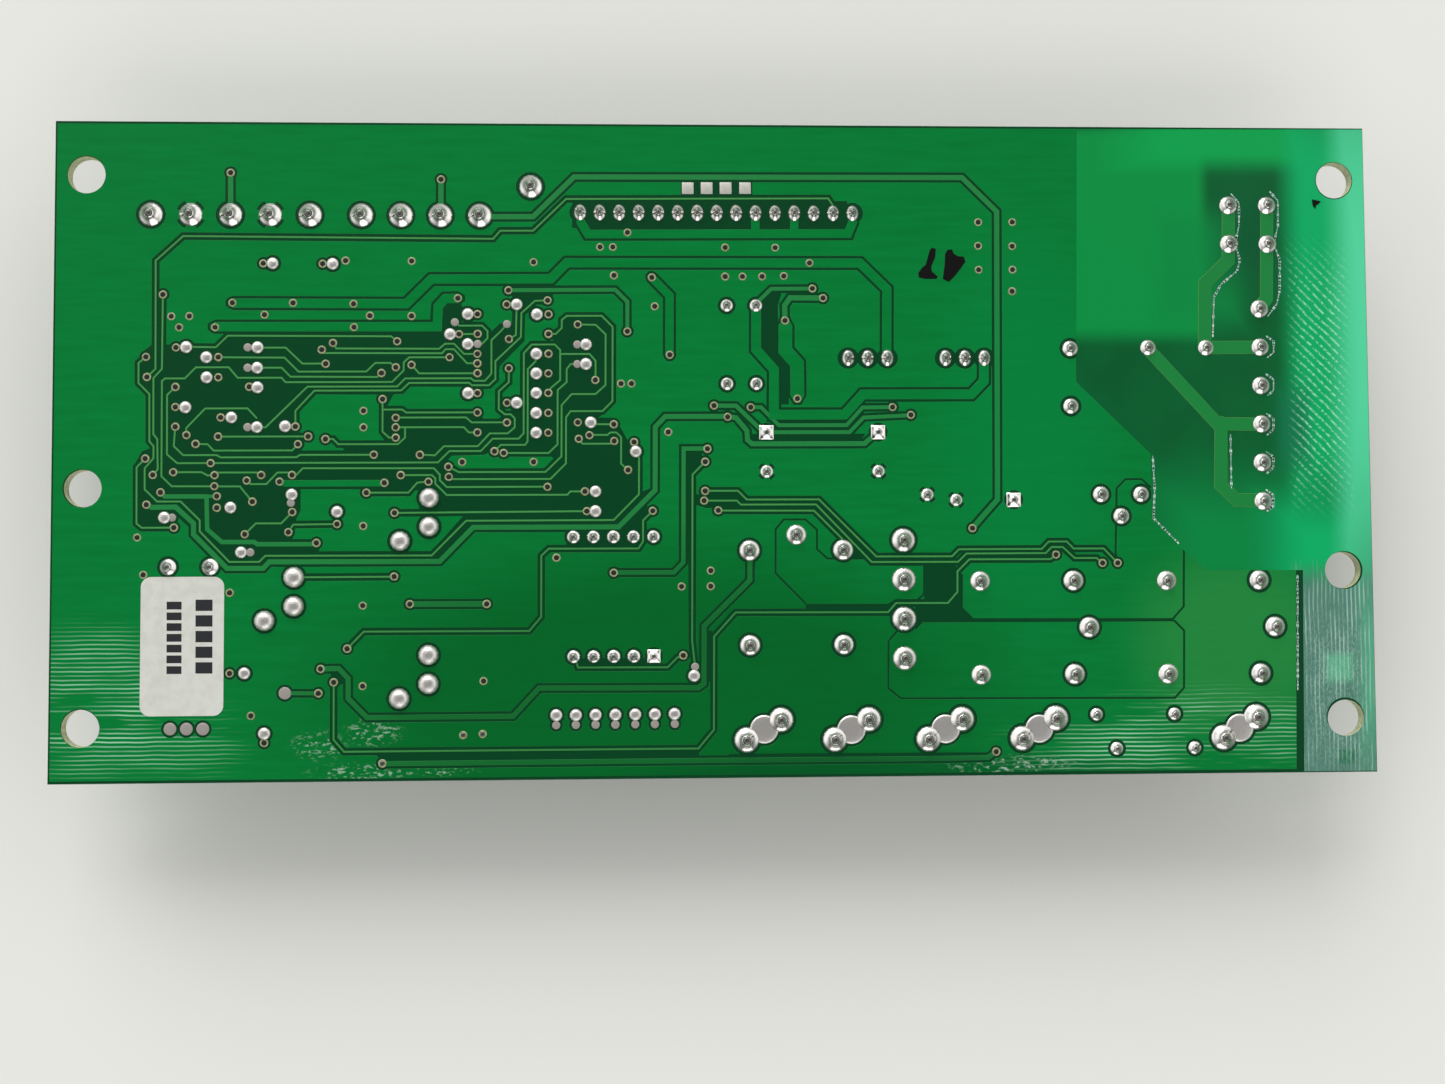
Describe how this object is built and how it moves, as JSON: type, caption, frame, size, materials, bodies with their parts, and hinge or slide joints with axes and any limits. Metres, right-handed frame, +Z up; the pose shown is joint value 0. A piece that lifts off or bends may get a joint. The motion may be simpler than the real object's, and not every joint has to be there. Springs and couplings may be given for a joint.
{
  "type": "garage door control board",
  "caption": "Rectangular printed circuit board with relays, screw terminals, a digit display and push buttons under it; it controls a garage door opener.",
  "frame": {"origin": "under the middle of the board, on the surface that it lies on with its component side down", "axes": "+X along the board's long side, +Y across it towards the signal terminals, +Z up out of the solder side"},
  "size_m": [0.171, 0.085, 0.0185],
  "materials": {
    "laminate": "green solder mask over glass-epoxy laminate",
    "paper": "matt white label",
    "solder": "bright tin-lead solder",
    "tinned_copper": "tinned copper",
    "plated_steel": "bright plated steel",
    "brass": "tinned brass",
    "terminal_plastic": "moulded green polyamide",
    "mains_plastic": "moulded grey polyamide",
    "black_plastic": "moulded black plastic",
    "plunger_plastic": "moulded grey plastic",
    "relay_plastic": "moulded black case",
    "moulded_epoxy": "moulded black epoxy",
    "can_sleeve": "shrink sleeve over an aluminium can",
    "film_box": "moulded red box",
    "disc_coating": "dipped blue epoxy",
    "resistor_coating": "lacquered body",
    "segment_resin": "milky resin",
    "chip_ceramic": "fired ceramic"
  },
  "bodies": {
    "control_board": {"aerial_post": "brass", "axial_leads": "tinned_copper", "board": "laminate", "bridge_rectifier_body": "moulded_epoxy", "bridge_rectifier_leads": "tinned_copper", "button_covers": "plated_steel", "button_joints": "solder", "button_pins": "tinned_copper", "capacitor_a_can": "can_sleeve", "capacitor_b_can": "can_sleeve", "capacitor_leads": "tinned_copper", "chip_feet": "tinned_copper", "controller_body": "moulded_epoxy", "diode_bodies": "moulded_epoxy", "disc_capacitor_body": "disc_coating", "disc_leads": "tinned_copper", "display_housing": "black_plastic", "display_pins": "tinned_copper", "display_segments": "segment_resin", "down_button_base": "black_plastic", "driver_body": "moulded_epoxy", "film_capacitor_body": "film_box", "flat_capacitors": "chip_ceramic", "flat_resistors": "chip_ceramic", "label": "paper", "lead_joints": "solder", "mains_inlet_contacts": "tinned_copper", "mains_inlet_housing": "mains_plastic", "mains_joints": "solder", "mains_terminal_housing": "mains_plastic", "motor_transistor_leads": "tinned_copper", "motor_transistor_moulding": "moulded_epoxy", "oval_joints": "solder", "power_joints": "solder", "program_button_base": "black_plastic", "receiver_socket_housing": "black_plastic", "receiver_socket_pins": "tinned_copper", "regulator_leads": "tinned_copper", "regulator_mouldings": "moulded_epoxy", "regulator_plates": "plated_steel", "relay_a_case": "relay_plastic", "relay_b_case": "relay_plastic", "relay_c_case": "relay_plastic", "relay_joints": "solder", "relay_pins": "tinned_copper", "reservoir_capacitor_can": "can_sleeve", "resistor_bodies": "resistor_coating", "spade_tabs": "brass", "terminal_clamps": "tinned_copper", "terminal_five_housing": "terminal_plastic", "terminal_four_housing": "terminal_plastic", "terminal_joints": "solder", "terminal_pins": "tinned_copper", "terminal_screws": "plated_steel", "up_button_base": "black_plastic", "varistor_body": "disc_coating"},
    "program_button": {"program_button_plunger": "plunger_plastic"},
    "up_button": {"up_button_plunger": "plunger_plastic"},
    "down_button": {"down_button_plunger": "plunger_plastic"}
  },
  "joints": [
    {"name": "program_button_press", "type": "slide", "parent": "control_board", "child": "program_button", "axis": [0, 0, 1], "range_m": [0, 0.0008], "stiffness_N_per_m": 400, "springref_m": -0.003},
    {"name": "up_button_press", "type": "slide", "parent": "control_board", "child": "up_button", "axis": [0, 0, 1], "range_m": [0, 0.0008], "stiffness_N_per_m": 400, "springref_m": -0.003},
    {"name": "down_button_press", "type": "slide", "parent": "control_board", "child": "down_button", "axis": [0, 0, 1], "range_m": [0, 0.0008], "stiffness_N_per_m": 400, "springref_m": -0.003}
  ]
}
